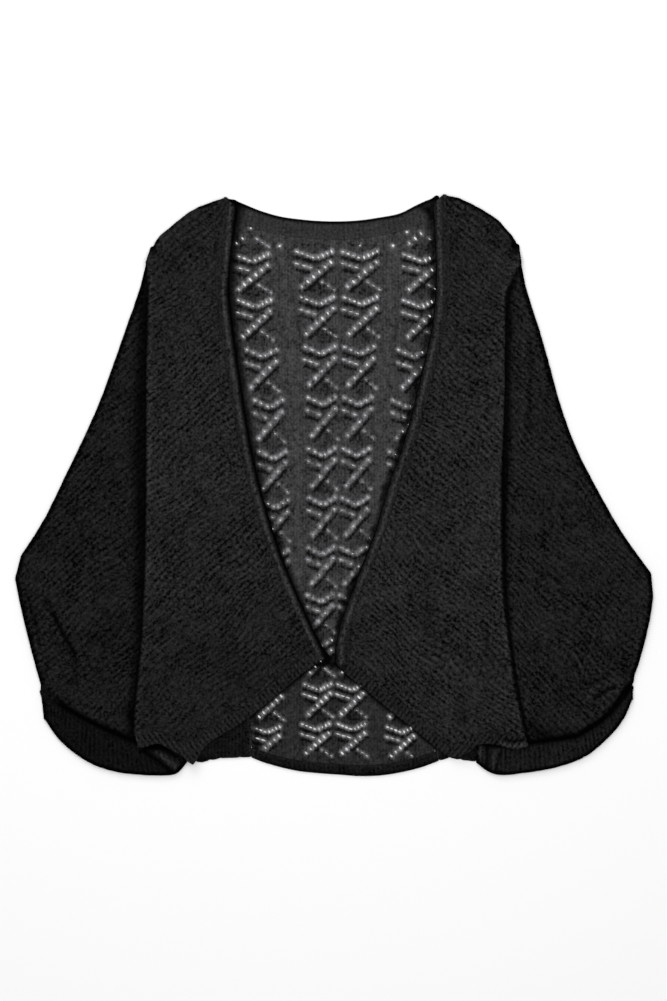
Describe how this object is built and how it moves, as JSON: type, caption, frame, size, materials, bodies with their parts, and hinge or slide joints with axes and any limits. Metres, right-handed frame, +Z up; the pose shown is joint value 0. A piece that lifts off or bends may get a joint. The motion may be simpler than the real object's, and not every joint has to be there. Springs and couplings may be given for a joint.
{
  "type": "crochet cardigan",
  "caption": "Open-front cropped cardigan laid flat: chunky knit fronts and batwing sleeves with ribbed cuffs, over a back of lace leaves.",
  "frame": {"origin": "centre of the laid-out garment's outline, on the surface that it rests on", "axes": "+Z up from that surface, +Y towards the neck, +X to the right as seen from above. Left and right in the node names are as seen from above too."},
  "size_m": [0.664, 0.604, 0.0124],
  "materials": {
    "front_knit": "slubby black knit, matt with a faint sheen on its ridges",
    "sleeve_knit": "the fronts' slubby black knit, a little darker",
    "lace_back": "finer washed-black knit, cut with rows of lace eyelets",
    "plain_back": "plain washed-black knit",
    "neck_rib": "black rib, a little faded",
    "smooth_band": "smooth close knit band",
    "cuff_rib": "fine black rib"
  },
  "bodies": {
    "root": {"back_lace_panel": "lace_back", "back_side_left": "plain_back", "back_side_right": "plain_back", "back_hem_rib": "cuff_rib", "neck_band_back": "neck_rib", "front_left": "front_knit", "front_right": "front_knit", "front_band_left": "smooth_band", "front_band_right": "smooth_band", "front_hem_left": "smooth_band", "front_hem_right": "smooth_band", "sleeve_left": "sleeve_knit", "sleeve_right": "sleeve_knit", "cuff_left": "cuff_rib", "cuff_right": "cuff_rib"}
  },
  "joints": []
}
